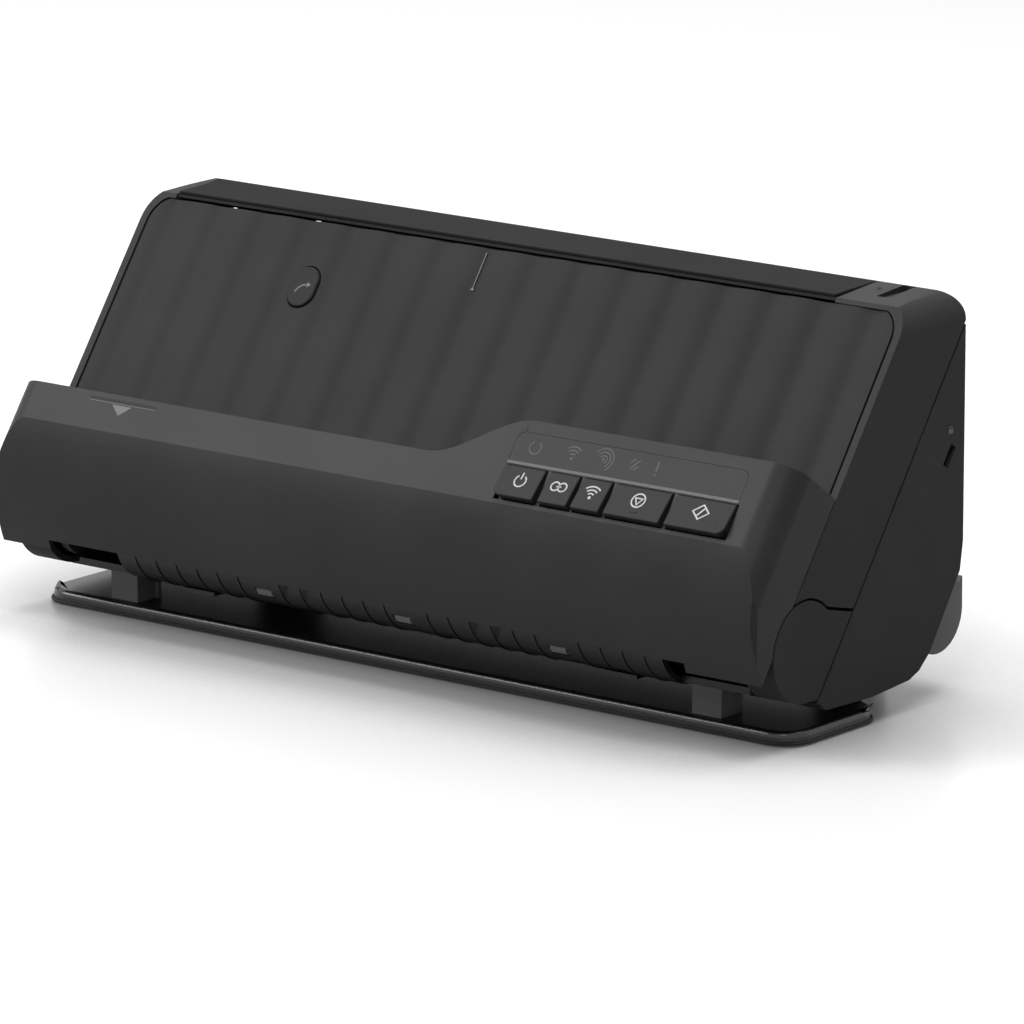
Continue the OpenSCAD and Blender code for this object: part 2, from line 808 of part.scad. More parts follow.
// inner half of the turn, and the way up behind the foot of the ribbed panel
module turn_guide() {
    color(black) difference() {
        across(-guide_w / 2, guide_w / 2) {
            difference() {
                translate([hinge_y, hinge_h]) circle(drum_r - 0.2);
                translate([hinge_y, hinge_h]) circle(drum_r - 2);
                slope2d() translate([-30, 0]) square([60, 40]);
            }
            slope2d() {
                polygon([[0.3 - drum_r, 0], [2.1 - drum_r, 0],
                         [2.5 - panel_v, panel_foot - 0.7], [0.7 - panel_v, panel_foot - 0.7]]);
                translate([1.2 - panel_v, panel_foot - 2.5])
                    square([panel_v + front_face_v - guide_t - 1.25, 1.8]);
            }
        }
        for (x = exit_tyres) rod_yz(hinge_y, hinge_h, drum_r + 1, x[0] - 0.8, x[1] + 0.8);
    }
}

// arms of the cover on the pivot pins
module cover_eyes() {
    color(dark) difference() {
        both_sides(cover_eye[0], cover_eye[1]) {
            translate([hinge_y, hinge_h]) circle(9);
            slope2d() translate([-8, 0]) square([16, 24]);
        }
        rod_yz(hinge_y, hinge_h, pin_r + fit, -140, 140);
    }
}

module front_sensor() {
    color([0.22, 0.23, 0.25])
        sensor_block(front_face_v - glass_t - sensor_d, front_face_v - glass_t);
}

module front_glass() {
    color("lightblue") sensor_block(front_face_v - glass_t, front_face_v);
}

module separation_roller() {
    color(steel) rod(separation_v, feed_u, idle_r, -40, 40);
    color([0.3, 0.3, 0.32]) for (x = feed_tyres) rod(separation_v, feed_u, feed_r, x[0], x[1]);
}

module pinch_roller() {
    color(steel) rod(pinch_v, transport_u, idle_r, -74, 74);
    color([0.3, 0.3, 0.32]) for (x = transport_tyres)
        rod(pinch_v, transport_u, transport_r, x[0], x[1]);
}

// ---------- front cover ----------

// side view of everything behind the bulging face and the upper face
module front_side_view(in) {
    intersection() {
        slope2d() translate([zone_v + in, -40]) square([60, 100]);
        union() {
            translate([bulge_y, bulge_z]) circle(bulge_r - in, $fn = 180);
            slope2d() translate([-60, flat_from]) square([100, 60]);
        }
    }
}

function rise(t) = 3 * t * t - 2 * t * t * t;

module top_edge_view() {
    steps = 14;
    polygon(concat(
        [[-200, -60], [-200, low_edge]],
        [for (i = [0:steps]) [rise_x[0] + (rise_x[1] - rise_x[0]) * i / steps,
                              low_edge + (high_edge - low_edge) * rise(i / steps)]],
        [[200, high_edge], [200, -60]]));
}

// front view of the cover, seen square to the ribbed panel
module upper_corners(in, r) {
    slope() translate([0, zone_v + in + 40, -60]) linear_extrude(160)
        rounded(machine_w - 2 * in, 80, r);
}

module front_cover() {
    color([0.26, 0.26, 0.27]) difference() {
        intersection() {
            across(-half_w - 1, half_w + 1) difference() {
                front_side_view(0);
                translate([-100, 0]) square([200, cover_bottom]);
                // sides end at the ribbed panel, and below at the round caps
                slope2d() translate([-panel_v - seam, -60]) square([80, 140]);
                translate([hinge_y, hinge_h]) circle(cap_r + 0.6);
                translate([hinge_y - 5, 0]) square([60, hinge_h]);
            }
            upper_corners(0, corner_r);
            linear_extrude(140) polygon([
                [-half_w, 40], [-half_w, edge_cut - half_depth], [edge_cut - half_w, -half_depth],
                [half_w - edge_cut, -half_depth], [half_w, edge_cut - half_depth], [half_w, 40]
            ]);
            slope() rotate([90, 0, 0]) translate([0, 0, -40]) linear_extrude(120)
                top_edge_view();
        }
        intersection() {
            across(-half_w, half_w) front_side_view(wall);
            upper_corners(wall, corner_r - wall);
        }
        box([notch_x[0], -100, 0], [notch_x[1], 0, notch_top]);
        control_cuts();
    }
}

// the well that the buttons stand in, and the window's pocket
module control_cuts() {
    slope() {
        for (b = button_x)
            box([b[0] - 0.35, zone_v - 1, button_u - 0.7],
                [b[1] + 0.45, zone_v + wall + 1, button_u + button_h + 0.35]);
        window_plate(zone_v - 1, 0);
        box([window_x[0], zone_v - 1, strip_u],
            [window_x[1], zone_v + window_t, window_u[0] + eps]);
    }
}

// plate with round upper corners, in slope coordinates
module window_plate(v0, in) {
    r = 3;
    w = window_x[1] - window_x[0] - 2 * in;
    h = window_u[1] - window_u[0] - in;
    depth = zone_v + window_t - v0;
    translate([window_x[0] + in, zone_v + window_t, window_u[0]]) rotate([90, 0, 0])
        linear_extrude(depth) {
            square([w, h - r]);
            translate([r, 0]) square([w - 2 * r, h]);
            for (x = [r, w - r]) translate([x, h - r]) circle(r - eps);
        }
}

// arms of the front cover on the pivot pins
module front_eyes() {
    color(dark) difference() {
        both_sides(front_eye[0], front_eye[1]) {
            translate([hinge_y, hinge_h]) circle(9);
            polygon([[hinge_y, hinge_h + 9], [hinge_y, hinge_h - 7],
                     [hinge_y - 21.9, hinge_h + 3], [hinge_y - 22.7, hinge_h + 12]]);
        }
        rod_yz(hinge_y, hinge_h, pin_r + fit, -140, 140);
    }
}

module indicator_window() {
    color([0.22, 0.22, 0.23]) slope() window_plate(zone_v, 0.1);
}

module light_strip() {
    color([0.55, 0.55, 0.57]) slope()
        box([window_x[0], zone_v - 0.2, strip_u], [window_x[1], zone_v + window_t, window_u[0]]);
}

module panel_board() {
    color("green") slope()
        box([46, zone_v + 6.4, 16.5], [138, zone_v + 8, 41]);
}

module button(i, round_l, round_r) {
    b = button_x[i];
    r = 2.6;
    color([0.24, 0.24, 0.25]) slope() difference() {
        union() {
            across(b[0], b[1]) polygon([
                [zone_v - button_out, button_u], [zone_v - 0.7, button_u + button_h],
                [zone_v + 3.2, button_u + button_h], [zone_v + 3.2, button_u]]);
            box([(b[0] + b[1]) / 2 - 1.5, zone_v + 3, button_u + 4],
                [(b[0] + b[1]) / 2 + 1.5, zone_v + 5, button_u + 7]);
        }
        if (round_l) corner_cut(b[0], 1, r);
        if (round_r) corner_cut(b[1], -1, r);
    }
}

module corner_cut(x, side, r) {
    translate([x + side * r, 0, button_u + r]) rotate([90, 0, 0])
        translate([0, 0, 25]) linear_extrude(30) difference() {
            translate([side > 0 ? -r - 1 : 0, -r - 1]) square([r + 1, r + 1]);
            circle(r);
        }
}

module power_button() button(0, true, false);
module link_button() button(1, false, false);
module wireless_button() button(2, false, false);
module stop_button() button(3, false, false);
module start_button() button(4, false, true);

// ---------- input tray ----------

ext_t = 1.3;
ext_axis = [flap_front[0], flap_front[1] + 0.9];

// side view of the closed flap: top, round back and slanted paper face
module flap_view() {
    difference() {
        union() {
            translate([rear_y - flap_back_r, top_h - flap_back_r])
                circle(flap_back_r - ext_t - 0.1);
            polygon([flap_front, ext_axis,
                     [rear_y - flap_back_r, top_h - ext_t - 0.1],
                     [rear_y - ext_t, top_h - flap_back_r],
                     [rear_y - ext_t, flap_heel[1]], flap_heel]);
        }
        // nothing below the paper face
        polygon([flap_front, flap_heel, [60, flap_heel[1]], [60, 100], [20, 100]]);
    }
}

module flap_hollow() {
    polygon([[29, 123.9], [rear_y - flap_back_r, 123.6], [46, 119], [44, 119.4]]);
}

module tray_flap() {
    color(dark) difference() {
        union() {
            difference() {
                across(flap_x[0], flap_x[1]) flap_view();
                across(flap_x[0] + 3, flap_x[1] - 3) flap_hollow();
            }
            // skin of the round back, flush with the back wall
            across(flap_x[0], flap_x[1]) difference() {
                union() {
                    translate([rear_y - flap_back_r, top_h - flap_back_r]) circle(flap_back_r);
                    translate([rear_y - 3, tray_z + 0.4]) square([3, 3]);
                }
                translate([rear_y - flap_back_r, top_h - flap_back_r]) circle(flap_back_r - 2);
                translate([20, 110]) square([rear_y - 27.2, 20]);
                translate([20, 110]) square([26, 13]);
                translate([20, 100]) square([40, tray_z + 0.4 - 100]);
            }
            for (x = [[118, 121.9], [-121.9, -118], [104, 110.6], [-110.6, -104]])
                across(x[0], x[1]) {
                    translate([tray_y, tray_z]) circle(knuckle_r);
                    polygon([[tray_y - 2.6, tray_z], [tray_y - 2.6, tray_z + 4],
                             [tray_y - 0.1, tray_z + 4], [tray_y + 3, tray_z]]);
                }
        }
        both_sides(110.7, 117.9) translate([tray_y, tray_z]) circle(knuckle_r + clear);
        rod_yz(tray_y, tray_z, tray_pin_r, -130, 130);
    }
}

module tray_pins() {
    color(steel) {
        rod_yz(tray_y, tray_z, tray_pin_r, 104.2, 121.8);
        rod_yz(tray_y, tray_z, tray_pin_r, -121.8, -104.2);
    }
}

// plate that lies on the flap and folds out over its front edge
module tray_extension() {
    back = rear_y - flap_back_r;
    color([0.22, 0.22, 0.23]) across(flap_x[0] + 0.2, flap_x[1] - 0.2)
        polygon([[ext_axis[0], ext_axis[1] + 0.02], [back, top_h - ext_t],
                 [back + 0.7, top_h - ext_t], [back + 0.7, top_h],
                 [back, top_h], [ext_axis[0], ext_axis[1] + 1.1]]);
}

guide_x = 106;

// fence that the sheets are set against, under the closed flap
module edge_guide(x) {
    along = [flap_front[0] - flap_heel[0], flap_front[1] - flap_heel[1]] /
            norm([flap_front[0] - flap_heel[0], flap_front[1] - flap_heel[1]]);
    function at(t, d) = flap_heel + t * along + d * [-along[1], along[0]];
    color(grey) across(x - 1, x + 1)
        polygon([at(5, 0.1), at(18, 0.1), at(18, 2.6), at(5, 5.6)]);
}

module left_edge_guide() edge_guide(-guide_x);
module right_edge_guide() edge_guide(guide_x);

base_plate();
base_skirt();
foot_pads();
front_posts();
rear_arms();
tilt_shafts();
base_screws();
rear_cover();
cover_screws();
left_frame();
right_frame();
pivot_pins();
side_caps();
tilt_lugs();
rear_guide();
exit_guide();
tray_brackets();
rear_sensor();
rear_glass();
main_board();
usb_inlet();
dc_inlet();
drive_motor();
feed_belt();
drum_belt();
motor_gear();
feed_roller();
transport_roller();
exit_roller();
drum_roller();
cover_shell();
ribbed_panel();
front_guide();
turn_guide();
cover_eyes();
front_sensor();
front_glass();
separation_roller();
pinch_roller();
release_button();
front_cover();
front_eyes();
indicator_window();
light_strip();
panel_board();
power_button();
link_button();
wireless_button();
stop_button();
start_button();
tray_flap();
tray_pins();
tray_extension();
left_edge_guide();
right_edge_guide();
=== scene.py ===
# %% [markdown]
# Sheet fed document scanner.  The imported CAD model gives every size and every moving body.
# This lesson dresses it: edges eased where the mesh lets them be, moulded plastics with
# their grain, printed signs, and a plain studio round it.

# %% Load the frame
import json
import math
import bpy
from mathutils import Matrix, Vector


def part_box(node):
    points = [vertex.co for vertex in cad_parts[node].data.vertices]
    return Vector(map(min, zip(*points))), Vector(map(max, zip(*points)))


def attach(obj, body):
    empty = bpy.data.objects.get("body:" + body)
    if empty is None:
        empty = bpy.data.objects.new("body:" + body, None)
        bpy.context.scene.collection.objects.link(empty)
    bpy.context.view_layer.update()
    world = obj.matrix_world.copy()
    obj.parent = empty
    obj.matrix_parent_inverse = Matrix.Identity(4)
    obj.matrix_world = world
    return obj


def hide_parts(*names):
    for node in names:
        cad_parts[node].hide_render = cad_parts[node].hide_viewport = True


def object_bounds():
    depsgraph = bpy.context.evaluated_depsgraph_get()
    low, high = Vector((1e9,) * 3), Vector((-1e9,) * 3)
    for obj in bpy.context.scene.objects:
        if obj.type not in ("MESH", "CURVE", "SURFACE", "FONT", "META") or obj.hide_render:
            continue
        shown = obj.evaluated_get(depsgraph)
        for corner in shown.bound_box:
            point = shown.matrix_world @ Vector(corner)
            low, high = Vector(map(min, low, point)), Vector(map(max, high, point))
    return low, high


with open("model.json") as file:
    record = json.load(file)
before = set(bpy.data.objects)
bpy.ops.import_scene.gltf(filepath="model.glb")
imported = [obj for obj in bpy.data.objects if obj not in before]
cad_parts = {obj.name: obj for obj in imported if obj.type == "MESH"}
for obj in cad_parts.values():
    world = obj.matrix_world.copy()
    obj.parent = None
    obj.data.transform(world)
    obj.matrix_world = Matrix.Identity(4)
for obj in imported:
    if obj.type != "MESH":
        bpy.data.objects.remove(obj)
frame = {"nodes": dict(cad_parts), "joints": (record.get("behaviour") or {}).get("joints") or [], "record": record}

cad_low, cad_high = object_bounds()
nodes = frame["nodes"]
joints = {j["name"]: j for j in frame["joints"]}
print("CAD box", [round(c, 4) for c in (*cad_low, *cad_high)])

# %% [markdown]
# Most of this machine leans.  The record's joints say how: the cover turns on the hinge, and
# the release button is pressed square to the leaning face.  From those two come a flat
# drawing board, FACE, on which x runs across, y up the slope, and z out of the machine.

# %% The leaning drawing board
HINGE = Vector(joints["cover_open"]["pos_m"])
INWARD = Vector(joints["release_press"]["axis"]).normalized()
UPSLOPE = Vector((0, -INWARD.z, INWARD.y))
ACROSS = Vector((1, 0, 0))
FACE = Matrix.Translation(HINGE) @ Matrix((ACROSS, UPSLOPE, -INWARD)).transposed().to_4x4()
MM = 0.001


def slope_of(point):
    """How far up the slope and how far out of the machine a point lies, in mm."""
    p = FACE.inverted() @ Vector(point)
    return p.y / MM, p.z / MM


print("lean", round(math.degrees(math.asin(-INWARD.z)), 2), "degrees")

# %% [markdown]
# Every piece is made, shaped and finished in the same few moves, so they are named once.
# A finished piece has its place in its mesh, and rides on the body that it belongs to.

# %% Moves that every piece needs
def only(obj):
    """Make this the one selected, active object."""
    if bpy.context.object and bpy.context.object.mode == "EDIT":
        bpy.ops.object.mode_set(mode="OBJECT")
    for o in list(bpy.context.selected_objects):
        o.select_set(False)
    obj.select_set(True)
    bpy.context.view_layer.objects.active = obj


def settle(obj, name, material, body, place=None, smooth=30):
    """Put the piece in its place for good, name it, shade it and give it to its body."""
    only(obj)
    if place is not None:
        obj.matrix_world = place @ obj.matrix_world
    bpy.ops.object.transform_apply(location=True, rotation=True, scale=True)
    bpy.ops.object.shade_smooth_by_angle(angle=math.radians(smooth))
    obj.name = obj.data.name = name
    obj.data.materials.clear()
    obj.data.materials.append(material)
    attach(obj, body)
    return obj


def modifier(obj, kind, **settings):
    """Add a modifier, set it up and apply it."""
    only(obj)
    m = obj.modifiers.new(kind.lower(), kind)
    for key, value in settings.items():
        setattr(m, key, value)
    bpy.ops.object.modifier_apply(modifier=m.name)


def weigh_edges(obj, angle, share=None):
    """Mark the sharp edges for a bevel.  share(a, b) tells how much of the width the edge
    from a to b takes, from 0 to 1."""
    only(obj)
    bpy.ops.object.mode_set(mode="EDIT")
    bpy.ops.mesh.select_mode(type="EDGE")
    bpy.ops.mesh.select_all(action="DESELECT")
    bpy.ops.mesh.edges_select_sharp(sharpness=math.radians(angle))
    bpy.ops.transform.edge_bevelweight(value=1)
    bpy.ops.object.mode_set(mode="OBJECT")
    if share:
        weights = obj.data.attributes["bevel_weight_edge"].data
        for edge in obj.data.edges:
            weights[edge.index].value *= share(*(obj.data.vertices[i].co for i in edge.vertices))


def round_edges(obj, width, segments=2, angle=30, share=None, clamp=True):
    """Break the sharp edges as a mould does, and keep the flats looking flat."""
    weigh_edges(obj, angle, share)
    modifier(obj, "BEVEL", width=width * MM, segments=segments, limit_method="WEIGHT",
             use_clamp_overlap=clamp, miter_outer="MITER_ARC")
    modifier(obj, "WEIGHTED_NORMAL", mode="FACE_AREA", weight=90, keep_sharp=True)


# %% [markdown]
# A moulded part starts as a copy of its CAD solid, because that holds the exact size.  The
# copy arrives as loose triangles: they are merged, and flat neighbours are joined into whole
# faces, so that a bevel finds the real edges.  A broad face with many openings in it folds
# over itself when it is joined, so such a part keeps its triangles (flat=0).

# %% From CAD solid to moulded part
def body_of_node(node):
    bodies = frame["record"]["behaviour"]["bodies"]
    return next(body for body, members in bodies.items() if node in members)


def moulded(node, material, width, segments=2, flat=0.5, crease=35, **edges):
    """A copy of a CAD node with rounded edges, standing in for it."""
    source = nodes[node]
    obj = bpy.data.objects.new(node + "_moulded", source.data.copy())
    bpy.context.scene.collection.objects.link(obj)
    only(obj)
    if obj.data.has_custom_normals:
        bpy.ops.mesh.customdata_custom_splitnormals_clear()
    bpy.ops.object.mode_set(mode="EDIT")
    bpy.ops.mesh.select_all(action="SELECT")
    bpy.ops.mesh.remove_doubles(threshold=2e-6)
    if flat:
        bpy.ops.mesh.dissolve_limited(angle_limit=math.radians(flat))
    bpy.ops.object.mode_set(mode="OBJECT")
    settle(obj, node + "_moulded", material, body_of_node(node), smooth=crease)
    round_edges(obj, width, segments, **edges)
    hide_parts(node)
    print(node, "moulded:", len(obj.data.polygons), "faces")
    return obj


# %% [markdown]
# ## Camera
# A long lens from the right front, a little above: the machine's long front runs away to
# the left, and its right side shows how it leans.

# %% Camera
camera_data = bpy.data.cameras.new("studio_camera")
camera = bpy.data.objects.new("studio_camera", camera_data)
bpy.context.scene.collection.objects.link(camera)
camera_data.lens, camera_data.sensor_width = 285.3, 36
camera_data.clip_start, camera_data.clip_end = 0.1, 30
camera.location = (1.5345, -1.9112, 0.6237)
camera.rotation_euler = (math.radians(90 - 13.3), 0, math.radians(38.5))
bpy.context.scene.camera = camera
print("camera", round((camera.location - (cad_low + cad_high) / 2).length, 3), "m away")

# %% [markdown]
# ## Floor and light
# Dark plastic is shaped by what it reflects.  A broad lamp hangs overhead, and a softbox
# stands where the leaning faces mirror it into the camera: it lifts them from the faces that
# bulge below.  A small lamp at the right glints on the rounded corners.  The floor is white
# with a faint polish, and throws little light back up.

# %% Floor, world and lamps
def new_material(name):
    m = bpy.data.materials.new(name)
    m.use_nodes = True
    shader = next(n for n in m.node_tree.nodes if n.type == "BSDF_PRINCIPLED")
    return m, m.node_tree, shader


bpy.ops.mesh.primitive_plane_add(size=14, location=(0, 0, cad_low.z))
floor = bpy.context.object
floor.name = "studio_floor"
floor_paint, tree, shader = new_material("studio_floor_paint")
shader.inputs["Roughness"].default_value = 0.3
shader.inputs["Specular IOR Level"].default_value = 0.5


def seen_ray(tree):
    """1 for a camera, glossy or transmission ray, 0 for the light that the object gets."""
    rays = tree.nodes.new("ShaderNodeLightPath")
    either = rays.outputs["Is Camera Ray"]
    for name in ("Is Glossy Ray", "Is Transmission Ray"):
        more = tree.nodes.new("ShaderNodeMath")
        more.operation = "MAXIMUM"
        tree.links.new(either, more.inputs[0])
        tree.links.new(rays.outputs[name], more.inputs[1])
        either = more.outputs[0]
    return either


tone = tree.nodes.new("ShaderNodeMix")
tone.data_type = "RGBA"
tone.inputs["A"].default_value = (0.15, 0.15, 0.15, 1)
tone.inputs["B"].default_value = (0.98, 0.98, 0.985, 1)
tree.links.new(seen_ray(tree), tone.inputs["Factor"])
# Close to the machine an ambient occlusion node darkens the floor's colour: a painted contact shadow.
painted_contact_shadow = tree.nodes.new("ShaderNodeAmbientOcclusion")
painted_contact_shadow.inputs["Distance"].default_value = 0.12
painted_contact_shadow.samples = 8
depth = tree.nodes.new("ShaderNodeMapRange")
depth.inputs["From Min"].default_value, depth.inputs["From Max"].default_value = 0.35, 0.95
depth.inputs["To Min"].default_value, depth.inputs["To Max"].default_value = 0.35, 1.0
tree.links.new(painted_contact_shadow.outputs["AO"], depth.inputs["Value"])
shade = tree.nodes.new("ShaderNodeMix")
shade.data_type = "RGBA"
shade.inputs["A"].default_value = (0, 0, 0, 1)
tree.links.new(depth.outputs["Result"], shade.inputs["Factor"])
tree.links.new(tone.outputs["Result"], shade.inputs["B"])
tree.links.new(shade.outputs["Result"], shader.inputs["Base Color"])

# What the lamps lack to make the far floor white, only the eye and the mirrors are given.
glow = tree.nodes.new("ShaderNodeMath")
glow.operation = "MULTIPLY"
glow.inputs[1].default_value = 0.14
tree.links.new(seen_ray(tree), glow.inputs[0])
tree.links.new(glow.outputs[0], shader.inputs["Emission Strength"])
# The glow takes its colour from the painted contact shadow, so it is dimmer near the machine too.
tree.links.new(shade.outputs["Result"], shader.inputs["Emission Color"])
floor.data.materials.append(floor_paint)

world = bpy.data.worlds.new("studio")
bpy.context.scene.world = world
world.use_nodes = True
tree = world.node_tree
sky = tree.nodes["Background"]
sky.inputs["Color"].default_value = (1, 1, 1, 1)
level = tree.nodes.new("ShaderNodeMapRange")
level.inputs["To Min"].default_value = 0.12
level.inputs["To Max"].default_value = 1.0
tree.links.new(seen_ray(tree), level.inputs["Value"])
tree.links.new(level.outputs["Result"], sky.inputs["Strength"])


def soft_lamp(name, place, aim, size, power):
    data = bpy.data.lights.new(name, "AREA")
    data.shape, data.size, data.energy = "DISK", size, power
    lamp = bpy.data.objects.new(name, data)
    bpy.context.scene.collection.objects.link(lamp)
    lamp.location = place
    lamp.rotation_euler = (Vector(aim) - Vector(place)).to_track_quat("-Z", "Y").to_euler()
    return lamp


soft_lamp("overhead_lamp", (0.1, 0.25, 2.2), (0, 0, 0.06), 1.8, 35)
soft_lamp("left_softbox", (-1.33, -1.02, 1.42), (0, 0, 0.06), 1.1, 25)
soft_lamp("corner_glint", (0.92, -1.36, 1.68), (0.13, -0.03, 0.07), 0.35, 5)
bpy.context.scene.view_settings.view_transform = "Standard"

# %% [markdown]
# ## Plastics
# Spark-eroded moulds leave a fine even grain, a few tenths of a millimetre across, that
# breaks up the shine.  One recipe makes them all: a base colour that drifts a little over
# the part, a fine bump for the grain and a roughness that follows it.

# %% The recipe for moulded plastic
def plastic(name, colour, rough=0.5, grain=0.35, depth=0.02, shine=0.3, drift=0.12):
    """Moulded plastic: linear grey level, roughness, grain size in mm, grain depth in mm."""
    m, tree, shader = new_material(name)
    place = tree.nodes.new("ShaderNodeTexCoord").outputs["Object"]

    def noise(scale, detail):
        n = tree.nodes.new("ShaderNodeTexNoise")
        tree.links.new(place, n.inputs["Vector"])
        n.inputs["Scale"].default_value = scale
        n.inputs["Detail"].default_value = detail
        return n.outputs["Fac"]

    def spread(value, low, high):
        r = tree.nodes.new("ShaderNodeMapRange")
        tree.links.new(value, r.inputs["Value"])
        r.inputs["From Min"].default_value, r.inputs["From Max"].default_value = 0.3, 0.7
        r.inputs["To Min"].default_value, r.inputs["To Max"].default_value = low, high
        return r.outputs["Result"]

    base = colour if isinstance(colour, tuple) else (colour, colour, colour * 1.03)
    mix = tree.nodes.new("ShaderNodeMix")
    mix.data_type = "RGBA"
    mix.inputs["A"].default_value = (*[c * (1 - drift) for c in base], 1)
    mix.inputs["B"].default_value = (*[c * (1 + drift) for c in base], 1)
    tree.links.new(spread(noise(28, 3), 0, 1), mix.inputs["Factor"])
    tree.links.new(mix.outputs["Result"], shader.inputs["Base Color"])
    fine = noise(1000 / grain, 2)
    tree.links.new(spread(fine, rough - 0.05, rough + 0.05), shader.inputs["Roughness"])
    bump = tree.nodes.new("ShaderNodeBump")
    bump.inputs["Strength"].default_value = 0.5
    bump.inputs["Distance"].default_value = depth * MM
    tree.links.new(fine, bump.inputs["Height"])
    tree.links.new(bump.outputs["Normal"], shader.inputs["Normal"])
    shader.inputs["Specular IOR Level"].default_value = shine
    return m


# %% The plastics, rubbers and metals of this machine
base_black = plastic("base_black", 0.006, rough=0.3, depth=0.008, shine=0.6)
shell_dark = plastic("shell_dark", 0.047, rough=0.6, shine=0.1)
panel_ribbed = plastic("panel_ribbed", 0.03, rough=0.5, shine=0.08)
front_plastic = plastic("front_plastic", 0.038, rough=0.44, shine=0.13)
tray_plastic = plastic("tray_plastic", 0.02, rough=0.7, shine=0.05)
button_plastic = plastic("button_plastic", 0.028, rough=0.46, shine=0.14)
window_gloss = plastic("window_gloss", 0.03, rough=0.4, depth=0.004, shine=0.12)
strip_pale = plastic("strip_pale", 0.1, rough=0.45)
stand_grey = plastic("stand_grey", 0.2, rough=0.5)
guide_black = plastic("guide_black", 0.012, rough=0.4)
sensor_grey = plastic("sensor_grey", 0.05, rough=0.4)
roller_grey = plastic("roller_grey", 0.35, rough=0.5)
board_green = plastic("board_green", (0.02, 0.10, 0.04), rough=0.4, depth=0.01)
roller_rubber = plastic("roller_rubber", 0.02, rough=0.8, grain=0.6, depth=0.05, shine=0.2)
foot_rubber = plastic("foot_rubber", 0.03, rough=0.8, grain=0.6, depth=0.05, shine=0.2)
print_white = plastic("print_white", 0.62, rough=0.6, depth=0.002)
print_pale = plastic("print_pale", 0.2, rough=0.6, depth=0.002)
print_grey = plastic("print_grey", 0.11, rough=0.6, depth=0.002)
print_black = plastic("print_black", 0.004, rough=0.6, depth=0.002)


def metal(name, colour, rough):
    """Turned or pressed steel: fine marks round the shaft, seen as uneven shine."""
    m = plastic(name, colour, rough=rough, grain=0.2, depth=0.004, drift=0.05)
    shader = next(n for n in m.node_tree.nodes if n.type == "BSDF_PRINCIPLED")
    shader.inputs["Metallic"].default_value = 1.0
    return m


steel = metal("steel", 0.55, 0.32)
# Near-black for the side frames in place of steel: painted shade, so that where they show through the housing they
# look as dark as its inside.
frame_shade_black = plastic("frame_shade_black", 0.03, rough=0.45)
clear_glass, tree, shader = new_material("clear_glass")
shader.inputs["Base Color"].default_value = (0.78, 0.85, 0.87, 1)
shader.inputs["Roughness"].default_value = 0.05
shader.inputs["Transmission Weight"].default_value = 1.0
shader.inputs["IOR"].default_value = 1.5

finishes = {
    "base_black": base_black, "shell_dark": shell_dark, "panel_ribbed": panel_ribbed,
    "front_plastic": front_plastic, "tray_plastic": tray_plastic,
    "button_plastic": button_plastic, "window_gloss": window_gloss, "strip_pale": strip_pale,
    "stand_grey": stand_grey, "guide_black": guide_black, "sensor_grey": sensor_grey,
    "roller_grey": roller_grey, "board_green": board_green, "roller_rubber": roller_rubber,
    "foot_rubber": foot_rubber, "steel": steel, "clear_glass": clear_glass,
}
for part in frame["record"]["subparts"]:
    mesh = nodes[part["node"]].data
    mesh.materials.clear()
    mesh.materials.append(finishes[part["material_slot"]])
# The frames get the near-black of painted shade in place of their steel.
for side in ("left_frame", "right_frame"):
    nodes[side].data.materials[0] = frame_shade_black
print(len(finishes), "finishes on", len(nodes), "CAD nodes")

# %% [markdown]
# ## Housings
# The mouldings get their edges here.  The widths are the most that an edge may take, and
# are chosen one by one.  Where short edges meet, the clamp holds the bevel back: the large
# shells, the panel, the caps, the flap and the arms keep nearly sharp edges, and the keys,
# the posts, the skirt, the extension and the rim of the base show their rounding.

# %% Housings
CONTROL_PANEL = (44, 138, 17, 41.5)     # x and slope range in mm, where the edges stay crisp
CRISP = 0.15
RIM_BAND = 8                            # mm from the side of the base to look for its rim
base_low, base_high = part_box("base_plate")


def crisp_panel(a, b):
    """The edges round the keys and the window take only a little of the cover's rounding."""
    middle = (a + b) / 2
    x, u = middle.x / MM, slope_of(middle)[0]
    x0, x1, u0, u1 = CONTROL_PANEL
    return CRISP if x0 < x < x1 and u0 < u < u1 else 1


def base_rim(*ends):
    """Only the upper edge that runs round the base is rounded.  The band ends at the two
    corners of the base's step, and leaves a small spike at each."""
    def on_rim(p):
        beside = min(min(p[k] - base_low[k], base_high[k] - p[k]) for k in (0, 1))
        return p[2] > base_high[2] - 0.1 * MM and beside < RIM_BAND * MM
    return 1 if all(on_rim(p) for p in ends) else 0


moulded("front_cover", front_plastic, 0.8, 3, flat=0, crease=8, share=crisp_panel)
moulded("cover_shell", shell_dark, 0.7, 3)
moulded("rear_cover", shell_dark, 0.5, 2, flat=0)
moulded("side_caps", shell_dark, 0.5, 2)
moulded("tray_flap", shell_dark, 0.25, 2)
moulded("tray_extension", tray_plastic, 0.3, 2)
moulded("ribbed_panel", panel_ribbed, 0.3, 2)
moulded("base_plate", base_black, 1.8, 5, flat=0, clamp=False, share=base_rim)
moulded("base_skirt", shell_dark, 0.3, 2)
moulded("front_posts", stand_grey, 0.3, 2)
moulded("rear_arms", stand_grey, 0.6, 3)
moulded("release_button", panel_ribbed, 0.5, 3)
moulded("indicator_window", window_gloss, 0.15, 1)
moulded("light_strip", strip_pale, 0.12, 1)
for key in ("power", "link", "wireless", "stop", "start"):
    moulded(key + "_button", button_plastic, 0.35, 3)

# %% [markdown]
# ## Signs
# The keys carry pale printed signs, the dark window carries faint ones, and a few marks
# stand on the housings.  Each is drawn in millimetres on a flat sheet out of rings,
# arcs and bars, gets the thickness of a layer of ink, and is laid on its face.

